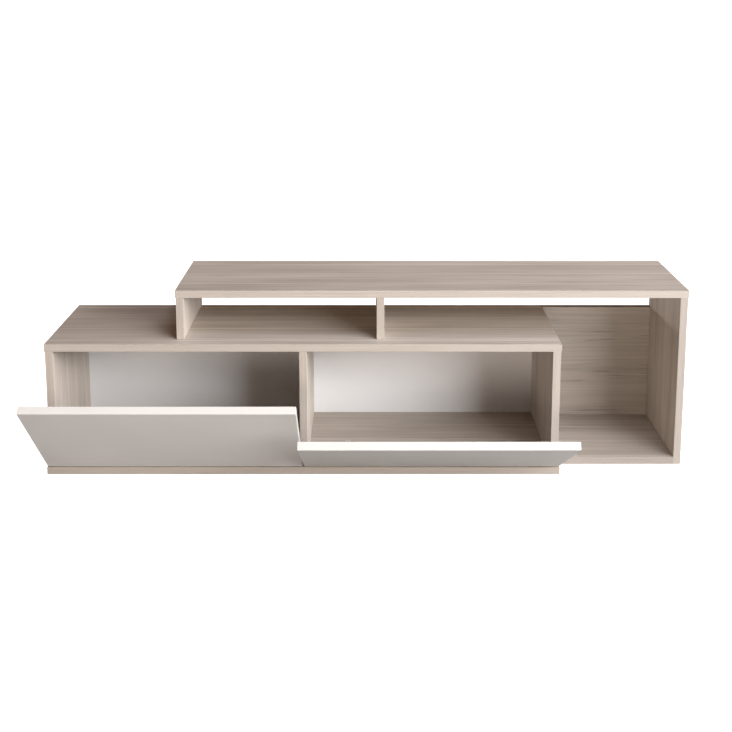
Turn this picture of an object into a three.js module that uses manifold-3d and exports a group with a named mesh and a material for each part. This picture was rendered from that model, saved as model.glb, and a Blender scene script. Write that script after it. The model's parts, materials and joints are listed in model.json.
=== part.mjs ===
// TV stand with two drop-down doors, built from 18 mm melamine-faced boards.
// A lower unit with two cabinets carries an upper unit that is shifted to the right and stands on
// two supports and one tall side, with an open compartment on the floor at the right end.
//
// Millimetres, +Z up, front towards -Y. The origin is on the floor, at the middle of the overall
// width and at the middle of the bottom board's depth.

import * as THREE from "three";
import { mergeVertices } from "three/addons/utils/BufferGeometryUtils.js";
import Module from "manifold-3d";

const wasm = await Module();
wasm.setup();

// ---- Driving dimensions -------------------------------------------------------------------

const BOARD = 18; // thickness of every wood board
const LOWER_LENGTH = 1200;
const LOWER_DEPTH = 332; // the bottom board; the top and the uprights are set back by the door
const LOWER_HEIGHT = 311;
const UPPER_LENGTH = 1200;
const UPPER_DEPTH = 277;
const UPPER_SHIFT = 300; // from the lower unit's left end to the upper unit's left end
const SUPPORT_HEIGHT = 100; // clear height between the lower and the upper top
const UPRIGHT_INSET = 2; // end uprights stand this far inside the ends of their boards
const DIVIDER_CENTRE = 600; // from the lower unit's left end
const MIDDLE_SUPPORT_CENTRE = 480; // from the upper unit's left end
const BACK_PANEL = 3; // hardboard, nailed on the rear of the lower unit
const BACK_PANEL_INSET = 1;

const DOOR_THICKNESS = 18;
const DOOR_REAR_GAP = 1; // closed door to carcass
const DOOR_FLOOR_GAP = 2; // closed door to bottom board
const DOOR_TOP_GAP = 1; // closed door's top edge, below the lower top's upper face
const DOOR_END_GAP = 2.5;
const DOOR_CENTRE_GAP = 5;
const LEFT_DOOR_ANGLE = 43.4; // degrees open
const RIGHT_DOOR_ANGLE = 58.6;

const HINGE_FROM_DOOR_END = 100;
const CUP_RADIUS = 17.5;
const CUP_DEPTH = 12.5;
const CUP_WALL = 1;
const CUP_EDGE = 5; // wood left between the cup's bore and the door's bottom edge
const CUP_CLEARANCE = 0.3;
const WING_THICKNESS = 1.5;
const WING_HEIGHT = 11;
const WING_SPAN = 53; // over both of the cup's wings
const PIVOT_BEHIND_DOOR = 3.5; // link pivot to the closed door's inner face
const PIVOT_HEIGHT = 6; // link pivot above the door's bottom edge
const NOSE_RADIUS = 3;
const PIN_RADIUS = 1.5;
const PIN_CLEARANCE = 0.3;
const LINK_WIDTH = 8;
const LINK_THICKNESS = 1.6;
const LINK_RATIO = 0.69; // turn of the link for one turn of the door
const ARM_SHEET = 1.8;
const ARM_CLEARANCE = 0.4; // arm to link, and arm to mounting plate
const ARM_LENGTH = 82; // from the link pivot to the arm's rear end
const ARM_SLOPE_LENGTH = 19; // the sloped nose, in front of the straight channel
const ARM_TOP = 22; // above the bottom board
const ARM_CHEEK_HEIGHT = 15;
const PLATE_BASE = 2;
const PLATE_BASE_LENGTH = 14;
const PLATE_BASE_SPAN = 48;
const PLATE_SETBACK = 37; // screw line, behind the carcass's front edge
const PLATE_RIB_LENGTH = 52;

const DOWEL_RADIUS = 4;
const DOWEL_LENGTH = 30;
const DOWEL_CHAMFER = 1;
const SCREW_RADIUS = 3.5;
const SCREW_LENGTH = 50;
const SCREW_HEAD_RADIUS = 5;
const SCREW_HEAD_HEIGHT = 4;
const SCREW_RECESS = 0.5;
const SCREW_TIP = 3;
const BORE_CLEARANCE = 0.3;
const FASTENER_SETBACK = 45; // from the front and rear edges of the piece it holds
const SPLICE_SETBACK = 85; // keeps the splice dowels clear of the upright's screws

const SMALL_SIDES = 12; // facets round dowels, screws and pins
const CUP_SIDES = 24;
const ARC_STEPS = 4;
const LINK_STEPS = 14;

// ---- Places worked out from the dimensions ------------------------------------------------

const overallLength = UPPER_SHIFT + UPPER_LENGTH;
const lowerLeft = -overallLength / 2;
const lowerRight = lowerLeft + LOWER_LENGTH;
const upperLeft = lowerLeft + UPPER_SHIFT;
const upperRight = upperLeft + UPPER_LENGTH;
const dividerX = lowerLeft + DIVIDER_CENTRE;
const middleSupportX = upperLeft + MIDDLE_SUPPORT_CENTRE;
const tallSideX = upperRight - UPRIGHT_INSET - BOARD;

const lowerFront = -LOWER_DEPTH / 2;
const rear = LOWER_DEPTH / 2;
const carcassFront = lowerFront + DOOR_THICKNESS + DOOR_REAR_GAP;
const upperFront = rear - UPPER_DEPTH;

const lowerTopUnderside = LOWER_HEIGHT - BOARD;
const upperTopUnderside = LOWER_HEIGHT + SUPPORT_HEIGHT;
const overallHeight = upperTopUnderside + BOARD;

const hingeZ = BOARD + DOOR_FLOOR_GAP;
const doorHeight = LOWER_HEIGHT - DOOR_TOP_GAP - hingeZ;

// ---- Materials ----------------------------------------------------------------------------

const FINISHES = {
  woodDecor: { color: 0xb3a99e, roughness: 0.55, metalness: 0 },
  whiteBoard: { color: 0xe6e4e1, roughness: 0.45, metalness: 0 },
  hardboard: { color: 0xdedbd7, roughness: 0.6, metalness: 0 },
  nickel: { color: 0xb9b9b6, roughness: 0.3, metalness: 1 },
  zincSteel: { color: 0xa9a79f, roughness: 0.4, metalness: 1 },
  beech: { color: 0xd2b48c, roughness: 0.75, metalness: 0 },
};

const stand = new THREE.Group();

function addMesh(parent, name, geometry, finish) {
  const mesh = new THREE.Mesh(geometry, new THREE.MeshStandardMaterial(FINISHES[finish]));
  mesh.name = name;
  parent.add(mesh);
  return mesh;
}

// ---- Solids -------------------------------------------------------------------------------

function toSolid(geometry) {
  const bare = geometry.clone();
  bare.deleteAttribute("normal");
  bare.deleteAttribute("uv");
  const merged = mergeVertices(bare, 1e-4);
  return new wasm.Manifold(
    new wasm.Mesh({
      numProp: 3,
      vertProperties: new Float32Array(merged.attributes.position.array),
      triVerts: new Uint32Array(merged.index.array),
    }),
  );
}

function toGeometry(solid) {
  const mesh = solid.getMesh();
  const indexed = new THREE.BufferGeometry();
  indexed.setAttribute("position", new THREE.BufferAttribute(mesh.vertProperties, 3));
  indexed.setIndex(new THREE.BufferAttribute(mesh.triVerts, 1));
  const geometry = indexed.toNonIndexed();
  geometry.computeVertexNormals();
  return geometry;
}

function cut(geometry, cavities) {
  let solid = toSolid(geometry);
  for (const cavity of cavities) {
    solid = solid.subtract(toSolid(cavity));
  }
  return toGeometry(solid);
}

function join(geometries) {
  let solid = toSolid(geometries[0]);
  for (const geometry of geometries.slice(1)) {
    solid = solid.add(toSolid(geometry));
  }
  return toGeometry(solid);
}

// Two boards that touch share the very same number for the face between them.
function boxBetween(low, high) {
  const box = new THREE.BoxGeometry(1, 1, 1);
  const corners = box.attributes.position;
  for (let i = 0; i < corners.count; i += 1) {
    const x = corners.getX(i) < 0 ? low[0] : high[0];
    const y = corners.getY(i) < 0 ? low[1] : high[1];
    const z = corners.getZ(i) < 0 ? low[2] : high[2];
    corners.setXYZ(i, x, y, z);
  }
  return box;
}

// A cylinder along +Z that starts at the origin.
function rod(radius, length, sides) {
  const cylinder = new THREE.CylinderGeometry(radius, radius, length, sides);
  return cylinder.rotateX(Math.PI / 2).translate(0, 0, length / 2);
}

// A cylinder along X, centred on a point of the YZ plane.
function crossRod(radius, width, y, z) {
  const cylinder = new THREE.CylinderGeometry(radius, radius, width, SMALL_SIDES);
  return cylinder.rotateZ(Math.PI / 2).translate(0, y, z);
}

// A side view in the YZ plane, made `width` thick along X and centred on X = 0.
function sidePlate(shape, width) {
  const plate = new THREE.ExtrudeGeometry(shape, {
    depth: width,
    bevelEnabled: false,
    curveSegments: ARC_STEPS,
  });
  const acrossX = new THREE.Matrix4().makeBasis(
    new THREE.Vector3(0, 1, 0),
    new THREE.Vector3(0, 0, 1),
    new THREE.Vector3(1, 0, 0),
  );
  return plate.applyMatrix4(acrossX).translate(-width / 2, 0, 0);
}

// ---- Boards -------------------------------------------------------------------------------

const boards = new Map();

function addBoard(name, low, high, finish) {
  boards.set(name, { low, high, finish, cavities: [] });
}

function addBoards() {
  const lowerUprights = {
    lower_left_side: lowerLeft + UPRIGHT_INSET,
    lower_divider: dividerX - BOARD / 2,
    lower_right_side: lowerRight - UPRIGHT_INSET - BOARD,
  };
  const supports = {
    upper_left_support: upperLeft + UPRIGHT_INSET,
    upper_middle_support: middleSupportX - BOARD / 2,
  };

  addBoard(
    "lower_bottom_board",
    [lowerLeft, lowerFront, 0],
    [lowerRight, rear, BOARD],
    "woodDecor",
  );
  for (const [name, x] of Object.entries(lowerUprights)) {
    addBoard(name, [x, carcassFront, BOARD], [x + BOARD, rear, lowerTopUnderside], "woodDecor");
  }
  addBoard(
    "lower_top_board",
    [lowerLeft, carcassFront, lowerTopUnderside],
    [lowerRight, rear, LOWER_HEIGHT],
    "woodDecor",
  );
  addBoard(
    "lower_back_panel",
    [lowerLeft + BACK_PANEL_INSET, rear, BACK_PANEL_INSET],
    [lowerRight - BACK_PANEL_INSET, rear + BACK_PANEL, LOWER_HEIGHT - BACK_PANEL_INSET],
    "hardboard",
  );

  for (const [name, x] of Object.entries(supports)) {
    addBoard(
      name,
      [x, upperFront, LOWER_HEIGHT],
      [x + BOARD, rear, upperTopUnderside],
      "woodDecor",
    );
  }
  addBoard(
    "upper_right_side",
    [tallSideX, upperFront, 0],
    [tallSideX + BOARD, rear, upperTopUnderside],
    "woodDecor",
  );
  addBoard(
    "upper_top_board",
    [upperLeft, upperFront, upperTopUnderside],
    [upperRight, rear, overallHeight],
    "woodDecor",
  );
  addBoard("right_bottom_board", [lowerRight, upperFront, 0], [tallSideX, rear, BOARD], "woodDecor");
  addBoard(
    "right_back_board",
    [lowerRight, rear - BOARD, BOARD],
    [tallSideX, rear, LOWER_HEIGHT],
    "woodDecor",
  );
}

// ---- Fasteners ----------------------------------------------------------------------------

const TURNS = {
  up: new THREE.Matrix4(),
  right: new THREE.Matrix4().makeRotationY(Math.PI / 2), // from +Z to +X
};

// Puts a fastener that was made along +Z at its place, and bores the boards it joins.
function drive(name, geometry, cavities, at, direction, joined, finish) {
  const place = new THREE.Matrix4().makeTranslation(...at).multiply(TURNS[direction]);
  addMesh(stand, name, geometry.applyMatrix4(place), finish);
  for (const board of joined) {
    for (const cavity of cavities) {
      boards.get(board).cavities.push(cavity.clone().applyMatrix4(place));
    }
  }
}

function addDowel(name, at, direction, joined) {
  const profile = [
    new THREE.Vector2(0, 0),
    new THREE.Vector2(DOWEL_RADIUS - DOWEL_CHAMFER, 0),
    new THREE.Vector2(DOWEL_RADIUS, DOWEL_CHAMFER),
    new THREE.Vector2(DOWEL_RADIUS, DOWEL_LENGTH - DOWEL_CHAMFER),
    new THREE.Vector2(DOWEL_RADIUS - DOWEL_CHAMFER, DOWEL_LENGTH),
    new THREE.Vector2(0, DOWEL_LENGTH),
  ];
  const dowel = new THREE.LatheGeometry(profile, SMALL_SIDES).rotateX(Math.PI / 2);
  const bore = rod(DOWEL_RADIUS + BORE_CLEARANCE, DOWEL_LENGTH + 2 * BORE_CLEARANCE, SMALL_SIDES);
  bore.translate(0, 0, -BORE_CLEARANCE);
  drive(name, dowel, [bore], at, direction, joined, "beech");
}

function addScrew(name, at, joined) {
  const profile = [
    new THREE.Vector2(0, 0),
    new THREE.Vector2(SCREW_HEAD_RADIUS, 0),
    new THREE.Vector2(SCREW_HEAD_RADIUS, SCREW_HEAD_HEIGHT / 2),
    new THREE.Vector2(SCREW_RADIUS, SCREW_HEAD_HEIGHT),
    new THREE.Vector2(SCREW_RADIUS, SCREW_LENGTH - SCREW_TIP),
    new THREE.Vector2(0, SCREW_LENGTH),
  ];
  const screw = new THREE.LatheGeometry(profile, SMALL_SIDES).rotateX(Math.PI / 2);
  screw.translate(0, 0, SCREW_RECESS);
  const shankBore = rod(
    SCREW_RADIUS + BORE_CLEARANCE,
    SCREW_RECESS + SCREW_LENGTH + 2 * BORE_CLEARANCE,
    SMALL_SIDES,
  );
  const headBore = rod(
    SCREW_HEAD_RADIUS + BORE_CLEARANCE,
    SCREW_RECESS + SCREW_HEAD_HEIGHT + 2 * BORE_CLEARANCE,
    SMALL_SIDES,
  );
  shankBore.translate(0, 0, -BORE_CLEARANCE);
  headBore.translate(0, 0, -BORE_CLEARANCE);
  drive(name, screw, [shankBore, headBore], at, "up", joined, "zincSteel");
}

// The middle of a board's thickness along X.
function middleX(name) {
  const board = boards.get(name);
  return (board.low[0] + board.high[0]) / 2;
}

function addFasteners() {
  const intoThinBoard = DOWEL_LENGTH * 0.4; // the rest of the dowel is in the end grain
  const intoEnd = DOWEL_LENGTH - intoThinBoard;
  const lowerRows = [carcassFront + FASTENER_SETBACK, rear - FASTENER_SETBACK];
  const upperRows = [upperFront + FASTENER_SETBACK, rear - FASTENER_SETBACK];
  const ends = ["front", "rear"];

  ends.forEach((end, row) => {
    for (const upright of ["lower_left_side", "lower_divider", "lower_right_side"]) {
      const x = middleX(upright);
      const y = lowerRows[row];
      addScrew(`${upright}_screw_${end}`, [x, y, 0], ["lower_bottom_board", upright]);
      addDowel(
        `${upright}_dowel_${end}`,
        [x, y, lowerTopUnderside - intoEnd],
        "up",
        ["lower_top_board", upright],
      );
    }
    for (const support of ["upper_left_support", "upper_middle_support"]) {
      addScrew(
        `${support}_screw_${end}`,
        [middleX(support), upperRows[row], lowerTopUnderside],
        ["lower_top_board", support],
      );
    }
    for (const upright of ["upper_left_support", "upper_middle_support", "upper_right_side"]) {
      addDowel(
        `${upright}_dowel_${end}`,
        [middleX(upright), upperRows[row], upperTopUnderside - intoEnd],
        "up",
        ["upper_top_board", upright],
      );
    }
    addDowel(
      `right_bottom_dowel_${end}`,
      [tallSideX - intoEnd, upperRows[row], BOARD / 2],
      "right",
      ["right_bottom_board", "upper_right_side"],
    );
    const spliceRows = [upperFront + SPLICE_SETBACK, rear - SPLICE_SETBACK];
    addDowel(
      `splice_dowel_${end}`,
      [lowerRight - DOWEL_LENGTH / 2, spliceRows[row], BOARD / 2],
      "right",
      ["lower_bottom_board", "right_bottom_board"],
    );
  });

  const backRows = { low: BOARD + FASTENER_SETBACK, high: LOWER_HEIGHT - FASTENER_SETBACK };
  for (const [height, z] of Object.entries(backRows)) {
    addDowel(
      `right_back_dowel_${height}`,
      [tallSideX - intoEnd, rear - BOARD / 2, z],
      "right",
      ["right_back_board", "upper_right_side"],
    );
  }
}

// ---- Hinges -------------------------------------------------------------------------------
// Each is drawn about X = 0 with the door closed: Y = 0 is the door's outer face and Z = 0 its
// bottom edge, which is the axis it turns on.

const cupCentreZ = CUP_EDGE + CUP_RADIUS;
const cupFloorY = DOOR_THICKNESS - CUP_DEPTH;
const pivotY = DOOR_THICKNESS + PIVOT_BEHIND_DOOR;
const boardTopZ = -DOOR_FLOOR_GAP;

// The round bore in the door's inner face.
function cupBore() {
  const bore = rod(CUP_RADIUS + CUP_CLEARANCE, CUP_DEPTH + 2 * CUP_CLEARANCE, CUP_SIDES);
  return bore.rotateX(-Math.PI / 2).translate(0, cupFloorY - CUP_CLEARANCE, cupCentreZ);
}

function cupGeometry() {
  const profile = [
    new THREE.Vector2(0, 0),
    new THREE.Vector2(CUP_RADIUS, 0),
    new THREE.Vector2(CUP_RADIUS, CUP_DEPTH),
    new THREE.Vector2(CUP_RADIUS - CUP_WALL, CUP_DEPTH),
    new THREE.Vector2(CUP_RADIUS - CUP_WALL, CUP_WALL),
    new THREE.Vector2(0, CUP_WALL),
  ];
  const shell = new THREE.LatheGeometry(profile, CUP_SIDES).translate(0, cupFloorY, cupCentreZ);
  const wingY = DOOR_THICKNESS + CUP_CLEARANCE;
  const pieces = [shell];
  for (const side of [-1, 1]) {
    const tabInner = CUP_RADIUS - 1.3 * CUP_WALL;
    const tabOuter = CUP_RADIUS - CUP_WALL / 3;
    const tabHalfHeight = WING_HEIGHT / 4;
    const spans = [side * tabInner, side * tabOuter].sort((a, b) => a - b);
    pieces.push(
      boxBetween(
        [spans[0], DOOR_THICKNESS - 2 * CUP_WALL, cupCentreZ - tabHalfHeight],
        [spans[1], wingY + WING_THICKNESS / 2, cupCentreZ + tabHalfHeight],
      ),
    );
    const wing = [side * (tabInner - CUP_WALL), (side * WING_SPAN) / 2].sort((a, b) => a - b);
    pieces.push(
      boxBetween(
        [wing[0], wingY, cupCentreZ - WING_HEIGHT / 2],
        [wing[1], wingY + WING_THICKNESS, cupCentreZ + WING_HEIGHT / 2],
      ),
    );
  }
  return join(pieces);
}

// A bent steel link, drawn about its own pivot. It clears the door's edge at every angle, and its
// free end stays inside the cup.
function linkGeometry() {
  const path = new THREE.SplineCurve([
    new THREE.Vector2(0, 0),
    new THREE.Vector2(2.2, 11.1),
    new THREE.Vector2(5.4, 23.8),
    new THREE.Vector2(2.0, 32.3),
    new THREE.Vector2(-12.1, 28.2),
  ]);
  const left = [];
  const right = [];
  for (let i = 0; i <= LINK_STEPS; i += 1) {
    const point = path.getPoint(i / LINK_STEPS);
    const tangent = path.getTangent(i / LINK_STEPS);
    const offset = new THREE.Vector2(-tangent.y, tangent.x).multiplyScalar(LINK_THICKNESS / 2);
    left.push(point.clone().add(offset));
    right.unshift(point.clone().sub(offset));
  }
  const ribbon = sidePlate(new THREE.Shape([...left, ...right]), LINK_WIDTH);
  const eye = crossRod(NOSE_RADIUS, LINK_WIDTH, 0, 0);
  const hole = crossRod(PIN_RADIUS + PIN_CLEARANCE, 2 * LINK_WIDTH, 0, 0);
  return cut(join([ribbon, eye]), [hole]);
}

// A folded channel that slopes down to the link pivot, open below, with the pivot pin across it.
function armGeometry() {
  const insideWidth = LINK_WIDTH + 2 * ARM_CLEARANCE;
  const width = insideWidth + 2 * ARM_SHEET;
  const top = boardTopZ + ARM_TOP;
  const bottom = top - ARM_CHEEK_HEIGHT;
  const rearEnd = pivotY + ARM_LENGTH;
  const channelStart = pivotY + ARM_SLOPE_LENGTH;
  const outline = new THREE.Shape();
  outline.absarc(pivotY, PIVOT_HEIGHT, NOSE_RADIUS, (3 * Math.PI) / 4, (3 * Math.PI) / 2, false);
  outline.lineTo(channelStart, bottom);
  outline.lineTo(rearEnd, bottom);
  outline.lineTo(rearEnd, top);
  outline.lineTo(channelStart, top);
  const plate = sidePlate(outline, width);
  const half = insideWidth / 2;
  const channel = boxBetween(
    [-half, channelStart, bottom - ARM_SHEET],
    [half, rearEnd + ARM_SHEET, top - ARM_SHEET],
  );
  const noseSlot = boxBetween(
    [-half, 0, bottom - ARM_TOP],
    [half, channelStart + ARM_SHEET, top + ARM_SHEET],
  );
  const pin = crossRod(PIN_RADIUS, width, pivotY, PIVOT_HEIGHT);
  return join([cut(plate, [channel, noseSlot]), pin]);
}

// A base that is screwed to the bottom board, with a rib that the arm clips over.
function plateGeometry() {
  const screwLine = DOOR_THICKNESS + DOOR_REAR_GAP + PLATE_SETBACK;
  const base = boxBetween(
    [-PLATE_BASE_SPAN / 2, screwLine - PLATE_BASE_LENGTH / 2, boardTopZ],
    [PLATE_BASE_SPAN / 2, screwLine + PLATE_BASE_LENGTH / 2, boardTopZ + PLATE_BASE],
  );
  const ribFront = pivotY + ARM_SLOPE_LENGTH + ARM_SHEET + ARM_CLEARANCE;
  const ribHalf = LINK_WIDTH / 2;
  const rib = boxBetween(
    [-ribHalf, ribFront, boardTopZ],
    [ribHalf, ribFront + PLATE_RIB_LENGTH, boardTopZ + ARM_TOP - ARM_SHEET - ARM_CLEARANCE],
  );
  return join([base, rib]);
}

// ---- Doors with their hinges --------------------------------------------------------------

function addDoor(name, left, right, angle, hingeNumbers) {
  const axis = new THREE.Group();
  axis.position.set(0, lowerFront, hingeZ);
  stand.add(axis);

  const leaf = new THREE.Group();
  leaf.rotation.x = THREE.MathUtils.degToRad(angle);
  axis.add(leaf);

  const hingePlaces = [left + HINGE_FROM_DOOR_END, right - HINGE_FROM_DOOR_END];
  const panel = boxBetween([left, 0, 0], [right, DOOR_THICKNESS, doorHeight]);
  const bores = hingePlaces.map((x) => cupBore().translate(x, 0, 0));
  addMesh(leaf, name, cut(panel, bores), "whiteBoard");

  hingePlaces.forEach((x, i) => {
    const hinge = `hinge_${hingeNumbers[i]}`;
    addMesh(leaf, `${hinge}_cup`, cupGeometry().translate(x, 0, 0), "nickel");
    addMesh(axis, `${hinge}_arm`, armGeometry().translate(x, 0, 0), "nickel");
    addMesh(axis, `${hinge}_plate`, plateGeometry().translate(x, 0, 0), "nickel");
    const link = addMesh(axis, `${hinge}_link`, linkGeometry(), "nickel");
    link.position.set(x, pivotY, PIVOT_HEIGHT);
    link.rotation.x = THREE.MathUtils.degToRad(angle * LINK_RATIO);
  });
}

// ---- Assembly -----------------------------------------------------------------------------

addBoards();
addFasteners();
for (const [name, board] of boards) {
  addMesh(stand, name, cut(boxBetween(board.low, board.high), board.cavities), board.finish);
}
addDoor(
  "left_door",
  lowerLeft + DOOR_END_GAP,
  dividerX - DOOR_CENTRE_GAP / 2,
  LEFT_DOOR_ANGLE,
  [1, 2],
);
addDoor(
  "right_door",
  dividerX + DOOR_CENTRE_GAP / 2,
  lowerRight - DOOR_END_GAP,
  RIGHT_DOOR_ANGLE,
  [3, 4],
);

export default stand;
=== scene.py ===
"""A two-tier TV stand with two drop-down doors: its boards, doors, hinges and fasteners, finished
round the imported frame, on a plain studio stage. Metres, +Z up, front towards -Y."""

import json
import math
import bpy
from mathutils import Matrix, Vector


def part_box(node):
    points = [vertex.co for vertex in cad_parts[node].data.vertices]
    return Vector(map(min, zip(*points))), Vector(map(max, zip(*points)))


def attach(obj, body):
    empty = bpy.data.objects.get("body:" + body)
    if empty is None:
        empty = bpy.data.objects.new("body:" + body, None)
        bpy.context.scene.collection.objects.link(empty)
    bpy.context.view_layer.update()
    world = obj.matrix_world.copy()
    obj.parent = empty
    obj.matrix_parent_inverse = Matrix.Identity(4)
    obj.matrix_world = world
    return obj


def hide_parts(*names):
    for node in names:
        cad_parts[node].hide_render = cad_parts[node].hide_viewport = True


bl_info = {
    "name": "TV Stand With Doors",
    "version": (1, 0, 0),
    "blender": (4, 5, 0),
    "location": "3D View > Sidebar > TV Stand",
    "description": "Makes the boards, doors, hinges, fasteners and stage of a two-tier TV stand",
    "category": "Add Mesh",
}

import bmesh
import bpy
from mathutils import Matrix, Vector

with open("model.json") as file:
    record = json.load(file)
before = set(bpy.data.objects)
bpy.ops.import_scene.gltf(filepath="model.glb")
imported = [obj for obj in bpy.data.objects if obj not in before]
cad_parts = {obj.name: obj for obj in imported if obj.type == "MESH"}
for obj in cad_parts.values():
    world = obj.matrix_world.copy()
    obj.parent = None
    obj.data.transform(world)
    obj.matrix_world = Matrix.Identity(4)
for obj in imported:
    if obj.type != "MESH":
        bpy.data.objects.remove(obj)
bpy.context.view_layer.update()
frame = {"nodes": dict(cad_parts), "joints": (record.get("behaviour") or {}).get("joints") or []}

MM = 0.001

# ---- What the frame holds ---------------------------------------------------------------------

STAND = "stand"
# Each door: its joint, its body, its links' body and its hinges.
DOORS = {
    "left_door": ("left_door_hinge", "left_flap", "left_links", ("hinge_1", "hinge_2")),
    "right_door": ("right_door_hinge", "right_flap", "right_links", ("hinge_3", "hinge_4")),
}
# Each wood board: the axis of its thickness, the axis its grain runs along, the width of a printed
# plank, how strongly its veins and its seams show, how light it is made as painted shading, and the
# millimetres by which its pattern is moved along, across and into the board. That share of the
# board's colour stands in for how light falls on it. Painted shade darkens the bottom and back
# boards of the shaded right bay, and the back board's own print is also a little darker. Painted
# shade also darkens the cabinets' floor board under the doors, the upper supports, and the tall
# right side, which the right lamps light strongly. A little painted light brightens the upper top.
BOARDS = {
    "lower_bottom_board": ("Z", "X", 87, 0.4, 0.9, 0.9, (310, 8, 0)),
    "lower_top_board": ("Z", "X", 87, 0.4, 0.9, 1.0, (1240, 33, 90)),
    "upper_top_board": ("Z", "X", 87, 0.4, 0.9, 1.02, (2655, 51, 180)),
    "right_bottom_board": ("Z", "X", 87, 0.5, 0.8, 0.77, (3410, 20, 270)),
    "right_back_board": ("Y", "X", 107, 0.9, 0.15, 0.74, (4120, -25, 400)),
    "lower_left_side": ("X", "Z", 87, 0.3, 0.15, 1.0, (5200, 40, 510)),
    "lower_divider": ("X", "Z", 87, 0.3, 0.15, 1.0, (6105, 62, 620)),
    "lower_right_side": ("X", "Z", 87, 0.3, 0.15, 1.0, (7330, 25, 730)),
    "upper_left_support": ("X", "Z", 87, 0.3, 0.15, 0.96, (8012, 70, 840)),
    "upper_middle_support": ("X", "Z", 87, 0.3, 0.15, 0.96, (8821, 47, 950)),
    "upper_right_side": ("X", "Z", 87, 0.3, 0.15, 0.9, (9540, 30, 1060)),
}
BACK_PANEL = "lower_back_panel"
DOWELS = sorted(node for node in frame["nodes"] if "_dowel_" in node)
SCREWS = sorted(node for node in frame["nodes"] if "_screw_" in node)
JOINTS = {joint["name"]: joint for joint in frame["joints"]}

# ---- Fixed choices ----------------------------------------------------------------------------

# Where the dark, middle and pale flecks of bare hardboard lie in its pattern, and their shares of
# its colour.
HARDBOARD_FLECKS = ((0.38, 0.78), (0.5, 1.0), (0.62, 1.2))
# Millimetres over which the pale line between two printed planks fades.
SEAM_WIDTH = 7
# Shares of a hinge arm's length at which its two screws stand.
ARM_SCREWS = (0.42, 0.86)
# A hinge screw's distance from the side of its part, in radii of its head.
SCREW_INSET = 1.6
# The radius of the dimple round a nail, in radii of the nail's head.
DIMPLE = 1.2
# Each soft light: how far it is turned to the right of the front and raised, in degrees, its
# distance, width and height in metres, and the settings that hold its power and its tint.
LIGHTS = {
    "key_light": (38, 18, 8.0, 4.0, 2.8, "key_power", "neutral_lamp"),
    "side_light": (71, 18, 8.0, 5.4, 2.8, "side_power", "neutral_lamp"),
    "front_light": (-18, 6, 8.0, 5.0, 1.4, "front_power", "warm_lamp"),
    "high_light": (30, 60, 6.0, 3.0, 3.0, "high_power", "daylight"),
    "back_light": (180, -2.5, 3.4, 1.8, 0.3, "back_power", "neutral_lamp"),
}


def linear(code):
    """A colour's sRGB hex code as linear red, green and blue."""
    parts = [int(code[i : i + 2], 16) / 255 for i in (1, 3, 5)]
    return [c / 12.92 if c <= 0.04045 else ((c + 0.055) / 1.055) ** 2.4 for c in parts]


def shaded(tint, share):
    """A colour with this share of its light."""
    return [part * share for part in tint]


# ---- Settings ---------------------------------------------------------------------------------


def length(name, default, description):
    """A length property: its default is given in millimetres and kept in metres."""
    return bpy.props.FloatProperty(
        name=name, description=description, default=default * MM, unit="LENGTH", precision=5
    )


def colour(name, default, description):
    """A colour property: its default is given as an sRGB hex code."""
    return bpy.props.FloatVectorProperty(
        name=name, description=description, default=linear(default), subtype="COLOR", max=1, min=0
    )


def angle(name, default, description):
    """An angle property: its default is given in degrees and kept in radians."""
    return bpy.props.FloatProperty(
        name=name, description=description, default=math.radians(default), subtype="ANGLE"
    )


def power(name, default, description):
    """A lamp's power in watts."""
    return bpy.props.FloatProperty(name=name, description=description, default=default, subtype="POWER")


def number(name, default, description):
    """A plain number property."""
    return bpy.props.FloatProperty(name=name, description=description, default=default)


class TvStandSizes(bpy.types.PropertyGroup):
    """Sizes of the fine details that the frame doesn't hold."""

    board_edge: length("Board edge", 0.7, "Radius of the boards' banded edges")
    door_edge: length("Door edge", 1.0, "Radius of the doors' edges")
    panel_edge: length("Panel edge", 0.3, "Radius of the back panel's sawn edges")
    metal_edge: length("Metal edge", 0.35, "Radius of the pressed steel's edges")
    clearance: length("Clearance", 0.3, "Gap round the dowels, screws and cups")
    nail_pitch: length("Nail pitch", 120, "Distance between the back panel's nails")
    nail_inset: length("Nail inset", 9, "Nails to the edge of the back panel")
    nail_radius: length("Nail radius", 2.4, "Radius of a nail's head")
    nail_flatness: number("Nail flatness", 0.25, "Height of a nail's head as a share of its radius")
    head_radius: length("Screw head radius", 3.4, "Radius of the hinges' screw heads")
    head_height: length("Screw head height", 1.4, "Height of the hinges' screw heads")
    cup_wall: length("Cup wall", 1.0, "Thickness of the hinge cups' sheet steel")
    thread_pitch: length("Thread pitch", 3.0, "Distance between the turns of the screws' threads")
    screw_tip: length("Screw tip", 0.6, "Radius of the furniture screws' points")
    dowel_chamfer: length("Dowel chamfer", 1.5, "Length of the dowels' tapered ends")


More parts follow.
